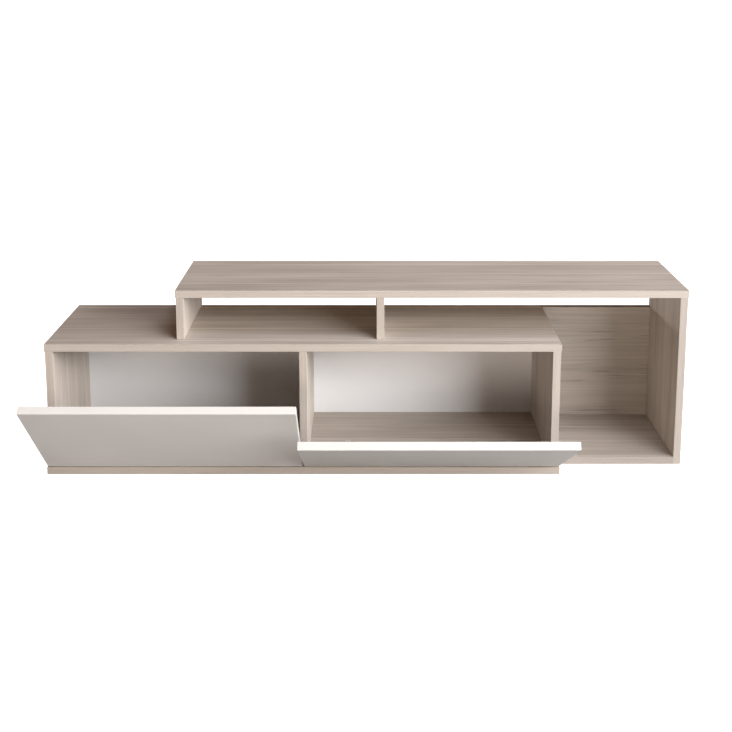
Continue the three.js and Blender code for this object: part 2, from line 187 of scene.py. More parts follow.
class TvStandColours(bpy.types.PropertyGroup):
    """Colours of the finishes."""

    wood_light: colour("Wood, light", "#DAD1C9", "Light streaks of the printed wood decor")
    wood_mid: colour("Wood, middle", "#CBC2B9", "Ground colour of the printed wood decor")
    wood_dark: colour("Wood, dark", "#B8AEA4", "Dark veins of the printed wood decor")
    wood_seam: colour("Wood, seam", "#E4DBD1", "Pale lines where printed planks meet")
    band: colour("Edge band", "#BEB5AD", "Edge banding of the boards")
    band_dark: colour("Edge band, dark", "#B6ADA4", "Fine lines in the edge banding")
    white: colour("White", "#DBD9D6", "White of the doors")
    panel_white: colour("Panel white", "#EFF0F2", "Painted face of the back panel")
    hardboard: colour("Hardboard", "#8A7460", "Bare face of the back panel")
    chipboard: colour("Chipboard", "#B89B72", "Core of the boards, seen inside the bores")
    nickel: colour("Nickel", "#E2E0DC", "Plating of the hinges")
    zinc: colour("Zinc", "#D6D4CB", "Plating of the screws")
    beech: colour("Beech", "#CDAA7D", "Wood of the dowels")
    floor: colour("Floor", "#FFFFFF", "Studio floor")
    fill: colour("Fill", "#FFC68E", "Tint of the light from all around")
    neutral_lamp: colour("Neutral lamp", "#FFFFFF", "Tint of the key, side and back lights")
    warm_lamp: colour("Warm lamp", "#FFF0E2", "Tint of the low light in front")
    daylight: colour("Daylight", "#EDF3FF", "Tint of the light from high up")


class TvStandStage(bpy.types.PropertyGroup):
    """The camera and the lights."""

    camera_place: bpy.props.FloatVectorProperty(
        name="Camera place",
        description="Where the camera stands",
        default=(0.002, -2.548, 1.133),
        subtype="TRANSLATION",
    )
    camera_pitch: angle("Camera pitch", 9.28, "How far the camera looks down")
    camera_lens: number("Lens", 53.21, "Focal length in millimetres")
    camera_sensor: number("Sensor", 36, "Width of the camera's sensor in millimetres")
    camera_reach: length("Camera reach", 200000, "Farthest distance that the camera sees")
    shift_x: number("Shift X", -0.0034, "Sideways lens shift")
    shift_y: number("Shift Y", -0.28, "Vertical lens shift")
    key_power: power("Key power", 390, "Wide soft light at the front right")
    side_power: power("Side power", 500, "Wide soft light at the right")
    front_power: power("Front power", 115, "Low soft light in front, a little to the left")
    high_power: power("High power", 105, "Soft light high above the front")
    back_power: power("Back power", 90, "Low soft light behind the stand")
    aim_height: length("Aim height", 250, "Height of the point that the lights face")
    fill_strength: number("Fill strength", 0.1, "Strength of the light from all around")
    floor_reach: length("Floor reach", 60000, "Distance from the stand to the floor's edges")
    floor_grey: number("Floor grey", 0.45, "Share of the light that the floor sends to the stand")


# ---- Nodes ------------------------------------------------------------------------------------


def add_node(tree, kind, inputs=None, stops=(), **settings):
    """Adds a node with its settings and its ramp's colour stops, and sets or links its inputs. A
    node given as an input is linked by its first output that is in use."""
    node = tree.nodes.new(kind)
    for name, value in settings.items():
        setattr(node, name, value)
    for key, value in (inputs or {}).items():
        if isinstance(value, bpy.types.Node):
            value = next(socket for socket in value.outputs if socket.enabled)
        if isinstance(value, bpy.types.NodeSocket):
            tree.links.new(value, node.inputs[key])
        else:
            node.inputs[key].default_value = value
    if stops:
        elements = node.color_ramp.elements
        for element, (position, value) in zip(elements[:], (stops[0], stops[-1])):
            element.position = position
            element.color = (*value, 1.0)
        for position, value in stops[1:-1]:
            elements.new(position).color = (*value, 1.0)
    return node


def new_material(name, **constants):
    """A material with one Principled shader, whose constant values sit on its own sockets."""
    material = bpy.data.materials.new(name)
    material.use_nodes = True
    tree = material.node_tree
    tree.nodes.clear()
    sockets = {key.replace("_", " "): value for key, value in constants.items()}
    shader = add_node(tree, "ShaderNodeBsdfPrincipled", sockets)
    add_node(tree, "ShaderNodeOutputMaterial", {"Surface": shader})
    return material, tree, shader


def place_in(tree, axes="XYZ", offset=(0, 0, 0)):
    """Object coordinates in metres, with the axes in this order and moved by millimetres."""
    coordinates = add_node(tree, "ShaderNodeTexCoord").outputs["Object"]
    apart = add_node(tree, "ShaderNodeSeparateXYZ", {0: coordinates})
    ordered = {i: apart.outputs[axis] for i, axis in enumerate(axes)}
    together = add_node(tree, "ShaderNodeCombineXYZ", ordered)
    shift = [value * MM for value in offset]
    return add_node(tree, "ShaderNodeVectorMath", {0: together, 1: shift}, operation="ADD")


def marks(tree, place, size, detail=2.0):
    """A random pattern whose marks are this long, wide and deep in millimetres."""
    scale = [1 / (value * MM) for value in size]
    scaled = add_node(tree, "ShaderNodeMapping", {"Vector": place, "Scale": scale})
    return add_node(tree, "ShaderNodeTexNoise", {"Vector": scaled, "Scale": 1, "Detail": detail})


def surface(tree, shader, pattern, stops, relief, depth, gloss=()):
    """Gives a shader a pattern's colours, a relief this many millimetres deep and, where it is
    given, a range of roughness that follows the relief."""
    ramp = add_node(tree, "ShaderNodeValToRGB", {0: pattern}, stops)
    tree.links.new(ramp.outputs[0], shader.inputs["Base Color"])
    bump = add_node(tree, "ShaderNodeBump", {"Height": relief, "Distance": depth * MM})
    tree.links.new(bump.outputs[0], shader.inputs["Normal"])
    if gloss:
        low, high = gloss
        sheen = add_node(tree, "ShaderNodeMapRange", {0: relief, 1: 0.3, 2: 0.7, 3: low, 4: high})
        tree.links.new(sheen.outputs[0], shader.inputs["Roughness"])


# ---- Materials --------------------------------------------------------------------------------


def ash_decor(name, axes, offset, plank_width, veins, seams, painted_shading, colours):
    """Chipboard faced with melamine paper that is printed as greyed ash: long fine streaks, wavy
    rings, a few darker veins, and a thin pale line where two printed planks meet. The embossed
    matt paper gives a broad, soft sheen that is stronger between the pores. The line between planks
    is about a millimetre wide on such paper, and is drawn as coarse as it needs to show."""
    material, tree, shader = new_material(name)
    place = place_in(tree, axes, offset)
    apart = add_node(tree, "ShaderNodeSeparateXYZ", {0: place})
    along, across = apart.outputs[0], apart.outputs[1]

    width = plank_width * MM
    plank_place = add_node(tree, "ShaderNodeMath", {0: across, 1: width}, operation="DIVIDE")
    plank = add_node(tree, "ShaderNodeMath", {0: plank_place}, operation="FLOOR")
    tone = add_node(tree, "ShaderNodeTexWhiteNoise", {"W": plank}, noise_dimensions="1D")
    slide = add_node(tree, "ShaderNodeCombineXYZ", {0: tone})
    own = add_node(tree, "ShaderNodeVectorMath", {0: place, 1: slide}, operation="ADD")

    wander = marks(tree, own, (260, 30, 60))
    bend = {0: wander, 1: 26 * MM, 2: across}
    bent = add_node(tree, "ShaderNodeMath", bend, operation="MULTIPLY_ADD")
    flow = add_node(tree, "ShaderNodeCombineXYZ", {0: along, 1: bent})
    rings = marks(tree, flow, (600, 5.5, 60))
    streaks = marks(tree, own, (260, 8, 30), 3.0)
    fibres = marks(tree, own, (40, 1.1, 12))
    clouds = marks(tree, own, (380, 45, 90), 1.0)
    figure = add_node(tree, "ShaderNodeMath", {0: rings, 1: 0.3}, operation="MULTIPLY")
    for pattern, share in ((streaks, 0.26), (fibres, 0.14), (clouds, 0.3)):
        summed = {0: pattern, 1: share, 2: figure}
        figure = add_node(tree, "ShaderNodeMath", summed, operation="MULTIPLY_ADD")
    stops = ((0.36, colours.wood_dark), (0.50, colours.wood_mid), (0.64, colours.wood_light))
    ground = add_node(tree, "ShaderNodeValToRGB", {0: figure}, stops)

    in_plank = add_node(tree, "ShaderNodeMath", {0: plank_place}, operation="FRACT")
    vein_marks = marks(tree, flow, (150, 3.4, 60))
    faint_to_dark = {0: vein_marks, 1: 0.58, 2: 0.72, 3: 0.0, 4: veins}
    vein = add_node(tree, "ShaderNodeMapRange", faint_to_dark, interpolation_type="SMOOTHSTEP")
    off_middle = add_node(tree, "ShaderNodeMath", {0: in_plank, 1: 0.5}, operation="SUBTRACT")
    from_middle = add_node(tree, "ShaderNodeMath", {0: off_middle}, operation="ABSOLUTE")
    middle_to_seam = {0: from_middle, 1: 0.15, 2: 0.42, 3: 0.15, 4: 1.0}
    near_seam = add_node(tree, "ShaderNodeMapRange", middle_to_seam, interpolation_type="SMOOTHSTEP")
    kept = add_node(tree, "ShaderNodeMath", {0: vein, 1: near_seam}, operation="MULTIPLY")
    deep = (*shaded(colours.wood_dark, 0.6), 1.0)
    veined = add_node(tree, "ShaderNodeMix", {0: kept, 6: ground, 7: deep}, data_type="RGBA")
    # The plank tones and the pale seams are scaled by how light the board is made: painted shade or
    # painted light for how light falls on the board.
    darkest, lightest = 0.95 * painted_shading, 1.05 * painted_shading
    tones = {0: tone, 1: 0.0, 2: 1.0, 3: darkest, 4: lightest}
    shade = add_node(tree, "ShaderNodeMapRange", tones)
    scaled = {0: veined.outputs[2], 3: shade}
    toned = add_node(tree, "ShaderNodeVectorMath", scaled, operation="SCALE")
    line = {0: in_plank, 1: 0.0, 2: SEAM_WIDTH / plank_width, 3: seams, 4: 0.0}
    seam = add_node(tree, "ShaderNodeMapRange", line, interpolation_type="SMOOTHSTEP")
    pale = (*shaded(colours.wood_seam, painted_shading), 1.0)
    seamed = add_node(tree, "ShaderNodeMix", {0: seam, 6: toned, 7: pale}, data_type="RGBA")
    tree.links.new(seamed.outputs[2], shader.inputs["Base Color"])
    sheen = add_node(tree, "ShaderNodeMapRange", {0: fibres, 1: 0.3, 2: 0.7, 3: 0.46, 4: 0.6})
    tree.links.new(sheen.outputs[0], shader.inputs["Roughness"])
    pitted = {0: streaks, 1: 0.6, 2: fibres}
    pores = add_node(tree, "ShaderNodeMath", pitted, operation="MULTIPLY_ADD")
    bump = add_node(tree, "ShaderNodeBump", {"Height": pores, "Distance": 0.03 * MM})
    tree.links.new(bump.outputs[0], shader.inputs["Normal"])
    return material


def ash_edge_band(name, axes, painted_shading, colours):
    """Melamine edge banding printed as the same ash without planks: straight fine lines on a
    slightly paler ground, with the sheen of the faces. Its colours are scaled by how light its board
    is made, which is painted shade or painted light for how light falls on the board."""
    material, tree, shader = new_material(name, Roughness=0.5)
    place = place_in(tree, axes)
    lines = marks(tree, place, (150, 1.8, 1.8), 3.0)
    dark, light = (shaded(tint, painted_shading) for tint in (colours.band_dark, colours.band))
    stops = ((0.36, dark), (0.56, light))
    surface(tree, shader, lines, stops, lines, 0.02)
    return material


def raw_chipboard(name, colours):
    """Chipboard core: pale pressed chips with darker ones between them, seen only in bores."""
    material, tree, shader = new_material(name, Roughness=0.85)
    place = place_in(tree)
    chips = add_node(tree, "ShaderNodeTexVoronoi", {"Vector": place, "Scale": 1 / (3 * MM)})
    tint = add_node(tree, "ShaderNodeSeparateColor", {0: chips.outputs["Color"]})
    stops = ((0.1, shaded(colours.chipboard, 0.55)), (0.8, colours.chipboard))
    surface(tree, shader, tint, stops, chips, 0.3)
    return material


def white_melamine(name, colours):
    """Chipboard faced with white melamine: an even warm white with a satin sheen, and the slight
    orange peel of pressed melamine film."""
    material, tree, shader = new_material(name)
    place = place_in(tree)
    clouds = marks(tree, place, (160, 160, 160))
    peel = marks(tree, place, (2.6, 2.6, 2.6))
    stops = ((0.35, shaded(colours.white, 0.965)), (0.65, colours.white))
    surface(tree, shader, clouds, stops, peel, 0.012, gloss=(0.3, 0.4))
    return material


def painted_hardboard(name, colours):
    """Painted face of hardboard: thin matt white paint that shows the fibres faintly."""
    material, tree, shader = new_material(name, Roughness=0.62)
    fibre = marks(tree, place_in(tree), (7, 7, 7), 3.0)
    stops = ((0.3, shaded(colours.panel_white, 0.985)), (0.7, colours.panel_white))
    surface(tree, shader, fibre, stops, fibre, 0.012)
    return material


def bare_hardboard(name, colours):
    """Bare face of hardboard: pressed brown wood fibre, mottled with dark and pale flecks."""
    material, tree, shader = new_material(name, Roughness=0.78)
    whole = place_in(tree)
    mottle = marks(tree, whole, (9, 9, 9), 5.0)
    flecks = marks(tree, whole, (2.2, 2.2, 2.2))
    mixed = add_node(tree, "ShaderNodeMath", {0: mottle, 1: flecks}, operation="ADD")
    half = add_node(tree, "ShaderNodeMath", {0: mixed, 1: 0.5}, operation="MULTIPLY")
    stops = [(place, shaded(colours.hardboard, share)) for place, share in HARDBOARD_FLECKS]
    surface(tree, shader, half, stops, flecks, 0.12)
    return material


def plated_steel(name, plating, roughness):
    """Pressed or turned steel under a thin plating: grey metal with fine drawn lines, and a gloss
    that is a little uneven."""
    material, tree, shader = new_material(name, Metallic=1.0)
    lines = marks(tree, place_in(tree), (0.8, 12, 0.8), 3.0)
    stops = ((0.35, shaded(plating, 0.9)), (0.65, plating))
    surface(tree, shader, lines, stops, lines, 0.01, gloss=(roughness - 0.08, roughness + 0.08))
    return material


def turned_beech(name, axes, colours):
    """Beech dowel: pale pinkish wood with short dark pore flecks along the grain."""
    material, tree, shader = new_material(name, Roughness=0.7)
    flecks = marks(tree, place_in(tree, axes), (7, 1.2, 1.2), 3.0)
    stops = ((0.35, shaded(colours.beech, 0.7)), (0.6, colours.beech))
    surface(tree, shader, flecks, stops, flecks, 0.05)
    return material


def studio_floor(name, grey, colours):
    """Painted studio floor. It is seen bright and even, but sends the stand only the dim light of
    a floor that is further from the lamps."""
    material, tree, shader = new_material(name, Roughness=0.9, Specular_IOR_Level=0.0)
    shader.inputs["Emission Strength"].default_value = 1.0
    clouds = marks(tree, place_in(tree), (900, 900, 900), 1.0)
    stops = ((0.3, shaded(colours.floor, 0.985)), (0.7, colours.floor))
    paint = add_node(tree, "ShaderNodeValToRGB", {0: clouds}, stops)
    tree.links.new(paint.outputs[0], shader.inputs["Base Color"])
    tree.links.new(paint.outputs[0], shader.inputs["Emission Color"])
    dim = add_node(tree, "ShaderNodeBsdfDiffuse", {"Color": (grey, grey, grey, 1.0)})
    seen = add_node(tree, "ShaderNodeLightPath").outputs["Is Camera Ray"]
    both = add_node(tree, "ShaderNodeMixShader", {0: seen, 1: dim, 2: shader})
    output = next(node for node in tree.nodes if node.type == "OUTPUT_MATERIAL")
    tree.links.new(both.outputs[0], output.inputs["Surface"])
    return material


def finish_of(name, make, *values):
    """The material of this name, made when it is first asked for."""
    return bpy.data.materials.get(name) or make(name, *values)


def zinc_finish(colours):
    """The bright zinc of every nail and screw, a little duller than the hinges' nickel."""
    return finish_of("zinc_plated_steel", plated_steel, colours.zinc, 0.4)


# ---- Meshes -----------------------------------------------------------------------------------


def object_from(bm, name, materials=()):
    """A finished object at the origin, with its place in its mesh."""
    mesh = bpy.data.meshes.new(name)
    bm.to_mesh(mesh)
    bm.free()
    for material in materials:
        mesh.materials.append(material)
    piece = bpy.data.objects.new(name, mesh)
    bpy.context.scene.collection.objects.link(piece)
    return piece


def apply_modifiers(piece):
    """Makes the evaluated object's mesh its own, and removes its modifiers."""
    graph = bpy.context.evaluated_depsgraph_get()
    evaluated = piece.evaluated_get(graph)
    made = bpy.data.meshes.new_from_object(evaluated, preserve_all_data_layers=True, depsgraph=graph)
    piece.modifiers.clear()
    piece.data = made
    return piece


def rounded_box(low, high, radius, segments=3):
    """A box with rounded edges, as a new bmesh."""
    bm = bmesh.new()
    bmesh.ops.create_cube(bm, size=1.0)
    size = high - low
    for vert in bm.verts:
        vert.co = low + Vector([size[i] * (vert.co[i] + 0.5) for i in range(3)])
    bmesh.ops.bevel(bm, geom=bm.edges[:], offset=radius, segments=segments, profile=0.5, affect="EDGES")
    return bm


def lathe(bm, profile, sides, place, material_index=0):
    """Adds a turned solid. The profile's (radius, height) points run from the axis at the bottom
    round the outside and back to the axis, or close on themselves. The axis is +Z before the
    solid is placed."""
    rings = []
    for radius, height in profile:
        count = sides if radius else 1
        turns = [math.tau * i / sides for i in range(count)]
        points = [Vector((radius * math.cos(t), radius * math.sin(t), height)) for t in turns]
        rings.append([bm.verts.new(place @ point) for point in points])
    if profile[0][0]:
        rings.append(rings[0])
    for first, second in zip(rings, rings[1:]):
        for i in range(sides):
            j = (i + 1) % sides
            corners = [first[i % len(first)], first[j % len(first)]]
            corners += [second[j % len(second)], second[i % len(second)]]
            face = bm.faces.new(dict.fromkeys(corners))
            face.material_index = material_index


def smooth_by_angle(mesh, degrees):
    """Smooth shading with sharp edges where the faces meet at more than this angle."""
    bm = bmesh.new()
    bm.from_mesh(mesh)
    for face in bm.faces:
        face.smooth = True
    for edge in bm.edges:
        edge.smooth = edge.is_manifold and edge.calc_face_angle() < math.radians(degrees)
    bm.to_mesh(mesh)
    bm.free()


# Turns that bring +Z onto each axis.
ONTO = {
    "X": Matrix.Rotation(math.radians(90), 4, "Y"),
    "Y": Matrix.Rotation(math.radians(-90), 4, "X"),
    "Z": Matrix.Identity(4),
}


def middle(low, high):
    """The centre of a box."""
    return (low + high) / 2


def boxes_meet(first, second):
    """Whether two boxes share more than a touching face."""
    gap = 0.1 * MM
    return all(first[0][i] < second[1][i] - gap and second[0][i] < first[1][i] - gap for i in range(3))


def levels(node, axis, chosen=lambda place: True):
    """The different heights of a CAD node's chosen corners along an axis, lowest first."""
    places = [vert.co for vert in frame["nodes"][node].data.vertices]
    return sorted({round(place[axis], 5) for place in places if chosen(place)})


def long_axis(low, high):
    """The axis along which a box is longest."""
    size = high - low
    return "XYZ"[max(range(3), key=lambda i: size[i])]


def subtract(piece, cutter):
    """Cuts the cutter out of the piece. The walls keep the cutter's material numbers."""
    modifier = piece.modifiers.new("bores", "BOOLEAN")
    modifier.operation = "DIFFERENCE"
    modifier.solver = "EXACT"
    modifier.material_mode = "INDEX"
    modifier.object = cutter
    apply_modifiers(piece)
    bpy.data.objects.remove(cutter)


def turn_about(joint, degrees):
    """The matrix that turns a piece about a joint's axis."""
    place = Vector(joint["pos_m"])
    turn = Matrix.Rotation(math.radians(degrees), 4, Vector(joint["axis"]))
    return Matrix.Translation(place) @ turn @ Matrix.Translation(-place)


def box_when_closed(node, joint):
    """The lowest and highest corners of a door's piece with the door closed."""
    turn = turn_about(joint, joint["range_deg"][0])
    points = [turn @ vert.co for vert in frame["nodes"][node].data.vertices]
    low = Vector([min(point[i] for point in points) for i in range(3)])
    high = Vector([max(point[i] for point in points) for i in range(3)])
    return low, high


def turn_to_rest(piece, joint):
    """Turns a piece that was made for the closed door to the angle at which the door rests."""
    piece.data.transform(turn_about(joint, -joint["range_deg"][0]))


def hand_over(piece, body, slot, *nodes):
    """Puts a finished piece on its body, in place of the nodes that it stands for."""
    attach(piece, body)
    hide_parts(*nodes)


# ---- Geometry Nodes ---------------------------------------------------------------------------


def new_tree(name, **inputs):
    """A geometry node tree that takes points and the named inputs. Returns it and its inputs."""
    tree = bpy.data.node_groups.new(name, "GeometryNodeTree")
    tree.interface.new_socket("Geometry", in_out="OUTPUT", socket_type="NodeSocketGeometry")
    tree.interface.new_socket("Points", in_out="INPUT", socket_type="NodeSocketGeometry")
    for label, kind in inputs.items():
        tree.interface.new_socket(label, in_out="INPUT", socket_type=f"NodeSocket{kind}")
    tree.interface.new_socket("Material", in_out="INPUT", socket_type="NodeSocketMaterial")
    return tree, add_node(tree, "NodeGroupInput").outputs


def end_tree(tree, geometry, material):
    """Ends a tree in Realize Instances and Set Material."""
    real = add_node(tree, "GeometryNodeRealizeInstances", {0: geometry})
    painted = add_node(tree, "GeometryNodeSetMaterial", {"Geometry": real, "Material": material})
    add_node(tree, "NodeGroupOutput", {0: painted})
    return tree


def run_tree(tree, name, points, **values):
    """Runs a tree on some points, and returns the result as a plain mesh object."""
    bm = bmesh.new()
    for point in points:
        bm.verts.new(point)
    piece = object_from(bm, name)
    modifier = piece.modifiers.new(tree.name, "NODES")
    modifier.node_group = tree
    for item in tree.interface.items_tree:
        if item.in_out == "INPUT" and item.name in values:
            modifier[item.identifier] = values[item.name]
    return apply_modifiers(piece)


def screw_head_tree():
    """Low screw heads with a cross recess, one on each point, facing +Z before the turn."""
    tree, inputs = new_tree("screw_heads", Radius="Float", Height="Float", Turn="Vector")
    radius, height = inputs["Radius"], inputs["Height"]
    top = add_node(tree, "ShaderNodeMath", {0: radius, 1: 0.7}, operation="MULTIPLY")
    low_cone = {"Vertices": 32, "Radius Top": top, "Radius Bottom": radius, "Depth": height}
    head = add_node(tree, "GeometryNodeMeshCone", low_cone)
    thin = add_node(tree, "ShaderNodeMath", {0: radius, 1: 0.24}, operation="MULTIPLY")
    wide = add_node(tree, "ShaderNodeMath", {0: radius, 1: 1.1}, operation="MULTIPLY")
    recess = add_node(tree, "GeometryNodeJoinGeometry")
    for size_x, size_y in ((thin, wide), (wide, thin)):
        size = add_node(tree, "ShaderNodeCombineXYZ", {0: size_x, 1: size_y, 2: height})
        blade = add_node(tree, "GeometryNodeMeshCube", {"Size": size})
        tree.links.new(blade.outputs[0], recess.inputs[0])
    lift = add_node(tree, "ShaderNodeCombineXYZ", {2: height})
    raised = add_node(tree, "GeometryNodeTransform", {"Geometry": recess, "Translation": lift})
    crossed = {0: head, 1: raised, "Self Intersection": True}
    cut = add_node(tree, "GeometryNodeMeshBoolean", crossed, operation="DIFFERENCE", solver="EXACT")
    facing = {"Points": inputs["Points"], "Instance": cut, "Rotation": inputs["Turn"]}
    placed = add_node(tree, "GeometryNodeInstanceOnPoints", facing)
    index = add_node(tree, "GeometryNodeInputIndex")
    drive_angle = add_node(tree, "ShaderNodeMath", {0: index, 1: 1.9}, operation="MULTIPLY")
    spin = add_node(tree, "ShaderNodeCombineXYZ", {2: drive_angle})
    spun = add_node(tree, "GeometryNodeRotateInstances", {"Instances": placed, "Rotation": spin})
    return end_tree(tree, spun, inputs["Material"])


def nail_tree():
    """Flat nail heads at each pitch round an upright rectangle, centred on each point."""
    tree, inputs = new_tree(
        "panel_nails", Width="Float", Height="Float", Pitch="Float", Radius="Float", Flat="Float"
    )
    sides = {"Width": inputs["Width"], "Height": inputs["Height"]}
    outline = add_node(tree, "GeometryNodeCurvePrimitiveQuadrilateral", sides)
    even = {"Curve": outline, "Length": inputs["Pitch"]}
    spaced = add_node(tree, "GeometryNodeResampleCurve", even, mode="LENGTH")
    dome = {"Segments": 16, "Rings": 8, "Radius": inputs["Radius"]}
    ball = add_node(tree, "GeometryNodeMeshUVSphere", dome)
    squash = add_node(tree, "ShaderNodeCombineXYZ", {0: 1.0, 1: 1.0, 2: inputs["Flat"]})
    head = add_node(tree, "GeometryNodeTransform", {"Geometry": ball, "Scale": squash})
    row = add_node(tree, "GeometryNodeInstanceOnPoints", {"Points": spaced, "Instance": head})
    raised = {"Geometry": row, "Rotation": (math.pi / 2, 0, 0)}
    upright = add_node(tree, "GeometryNodeTransform", raised)
    centred = {"Points": inputs["Points"], "Instance": upright}
    placed = add_node(tree, "GeometryNodeInstanceOnPoints", centred)
    return end_tree(tree, placed, inputs["Material"])


def dowel_tree():
    """Fluted dowels with chamfered ends, centred on each point, along +Z before the turn."""
    tree, inputs = new_tree(
        "fluted_dowels", Radius="Float", Length="Float", Chamfer="Float", Turn="Vector"
    )
    radius, full = inputs["Radius"], inputs["Length"]
    valley = add_node(tree, "ShaderNodeMath", {0: radius, 1: 0.92}, operation="MULTIPLY")
    flutes = {"Points": 20, "Inner Radius": valley, "Outer Radius": radius}
    section = add_node(tree, "GeometryNodeCurveStar", flutes)
    below = add_node(tree, "ShaderNodeMath", {0: full, 1: -0.5}, operation="MULTIPLY")
    above = add_node(tree, "ShaderNodeMath", {0: full, 1: 0.5}, operation="MULTIPLY")
    start = add_node(tree, "ShaderNodeCombineXYZ", {2: below})
    end = add_node(tree, "ShaderNodeCombineXYZ", {2: above})
    line = add_node(tree, "GeometryNodeCurvePrimitiveLine", {"Start": start, "End": end})
    steps = add_node(tree, "GeometryNodeResampleCurve", {"Curve": line, "Count": 31})
    place = add_node(tree, "GeometryNodeInputPosition")
    height = add_node(tree, "ShaderNodeSeparateXYZ", {0: place}).outputs[2]
    from_middle = add_node(tree, "ShaderNodeMath", {0: height}, operation="ABSOLUTE")
    from_end = add_node(tree, "ShaderNodeMath", {0: above, 1: from_middle}, operation="SUBTRACT")
    to_end = {0: from_end, 1: 0.0, 2: inputs["Chamfer"], 3: 0.8, 4: 1.0}
    share = add_node(tree, "ShaderNodeMapRange", to_end)
    tapered = add_node(tree, "GeometryNodeSetCurveRadius", {"Curve": steps, "Radius": share})
    swept = {"Curve": tapered, "Profile Curve": section, "Fill Caps": True}
    solid = add_node(tree, "GeometryNodeCurveToMesh", swept)
    turned = {"Points": inputs["Points"], "Instance": solid, "Rotation": inputs["Turn"]}
    placed = add_node(tree, "GeometryNodeInstanceOnPoints", turned)
    return end_tree(tree, placed, inputs["Material"])


def screw_tree():
    """Furniture screws standing on each point with their heads down: a hexagon socket in a flat
    head, and a shank with a coarse thread."""
    sizes = ("Radius", "Length", "HeadRadius", "HeadHeight", "Pitch", "Tip")
    tree, inputs = new_tree("furniture_screws", **dict.fromkeys(sizes, "Float"))
    radius, full, pitch = inputs["Radius"], inputs["Length"], inputs["Pitch"]
    head_radius, head_height = inputs["HeadRadius"], inputs["HeadHeight"]
    core = add_node(tree, "ShaderNodeMath", {0: radius, 1: 0.74}, operation="MULTIPLY")
    in_head = add_node(tree, "ShaderNodeMath", {0: head_height, 1: 0.75}, operation="MULTIPLY")
    rest = add_node(tree, "ShaderNodeMath", {0: full, 1: in_head}, operation="SUBTRACT")
    slim = {"Vertices": 24, "Radius Top": inputs["Tip"], "Radius Bottom": core, "Depth": rest}
    taper = add_node(tree, "GeometryNodeMeshCone", slim)
    above_socket = add_node(tree, "ShaderNodeCombineXYZ", {2: in_head})
    shank = add_node(tree, "GeometryNodeTransform", {"Geometry": taper, "Translation": above_socket})
    flat = {"Vertices": 32, "Radius Top": radius, "Radius Bottom": head_radius, "Depth": head_height}
    head = add_node(tree, "GeometryNodeMeshCone", flat)
    threaded = add_node(tree, "ShaderNodeMath", {0: full, 1: 0.74}, operation="MULTIPLY")
    turns = add_node(tree, "ShaderNodeMath", {0: threaded, 1: pitch}, operation="DIVIDE")
    ridge_radius = add_node(tree, "ShaderNodeMath", {0: radius, 1: 0.8}, operation="MULTIPLY")
    coil = {"Resolution": 16, "Rotations": turns, "Height": threaded}
    coil |= {"Start Radius": ridge_radius, "End Radius": core}
    spiral = add_node(tree, "GeometryNodeCurveSpiral", coil)
    ridge_size = add_node(tree, "ShaderNodeMath", {0: radius, 1: 0.18}, operation="MULTIPLY")
    sharp = {"Resolution": 4, "Radius": ridge_size}
    ridge_shape = add_node(tree, "GeometryNodeCurvePrimitiveCircle", sharp)
    swept = {"Curve": spiral, "Profile Curve": ridge_shape, "Fill Caps": True}
    ridge = add_node(tree, "GeometryNodeCurveToMesh", swept)
    past_neck = add_node(tree, "ShaderNodeMath", {0: full, 1: 0.2}, operation="MULTIPLY")
    lift = add_node(tree, "ShaderNodeCombineXYZ", {2: past_neck})
    thread = add_node(tree, "GeometryNodeTransform", {"Geometry": ridge, "Translation": lift})
    socket_radius = add_node(tree, "ShaderNodeMath", {0: head_radius, 1: 0.46}, operation="MULTIPLY")
    hexagon = {"Vertices": 6, "Radius": socket_radius, "Depth": head_height}
    socket = add_node(tree, "GeometryNodeMeshCylinder", hexagon)
    joined = add_node(tree, "GeometryNodeJoinGeometry")
    for part in (head, shank):
        tree.links.new(part.outputs[0], joined.inputs[0])
    hollow = {0: joined, 1: socket, "Self Intersection": True}
    cut = add_node(tree, "GeometryNodeMeshBoolean", hollow, operation="DIFFERENCE", solver="EXACT")
    whole = add_node(tree, "GeometryNodeJoinGeometry")
    for part in (cut, thread):
        tree.links.new(part.outputs[0], whole.inputs[0])
    standing = {"Points": inputs["Points"], "Instance": whole}
    placed = add_node(tree, "GeometryNodeInstanceOnPoints", standing)
    return end_tree(tree, placed, inputs["Material"])


# ---- Boards -----------------------------------------------------------------------------------


def fastener_cutter(board, clearance):
    """The bores that a board needs for the dowels and screws that meet it, or None. Their walls
    take the board's fourth material, its bare core."""
    bm = bmesh.new()
    for node in DOWELS + SCREWS:
        low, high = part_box(node)
        if not boxes_meet((low, high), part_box(board)):
            continue
        axis = long_axis(low, high)
        size = high - low
        around = [size[i] for i in range(3) if "XYZ"[i] != axis]
        full = size["XYZ".index(axis)]
        place = Matrix.Translation(middle(low, high)) @ ONTO[axis]
        half = full / 2 + clearance
        if node in DOWELS:
            radius = max(around) / 2 + clearance
            profile = ((0, -half), (radius, -half), (radius, half), (0, half))
        else:
            head, shank, head_height = screw_sizes(node)
            head += clearance
            shank += clearance
            neck = head_height + clearance - full / 2
            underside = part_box(board)[0].z - middle(low, high).z
            mouth = min(-half, underside - clearance)
            profile = [(0, mouth), (head, mouth), (head, neck)]
            profile += [(shank, neck), (shank, half), (0, half)]
        lathe(bm, profile, 24, place, material_index=3)
    if not bm.faces:
        bm.free()
        return None
    return object_from(bm, f"{board}_bores")


def screw_sizes(node):
    """A furniture screw's head radius, shank radius and head height, from its mesh: the shank's
    corners are the ones between the axis and the head's rim."""
    low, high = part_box(node)
    centre = middle(low, high)
    head = (high.x - low.x) / 2
    heights = set()
    shank = head
    for vert in frame["nodes"][node].data.vertices:
        out = math.hypot(vert.co.x - centre.x, vert.co.y - centre.y)
        if 0.2 * head < out < 0.9 * head:
            shank = min(shank, out)
            heights.add(vert.co.z - low.z)
    return head, shank, min(heights)


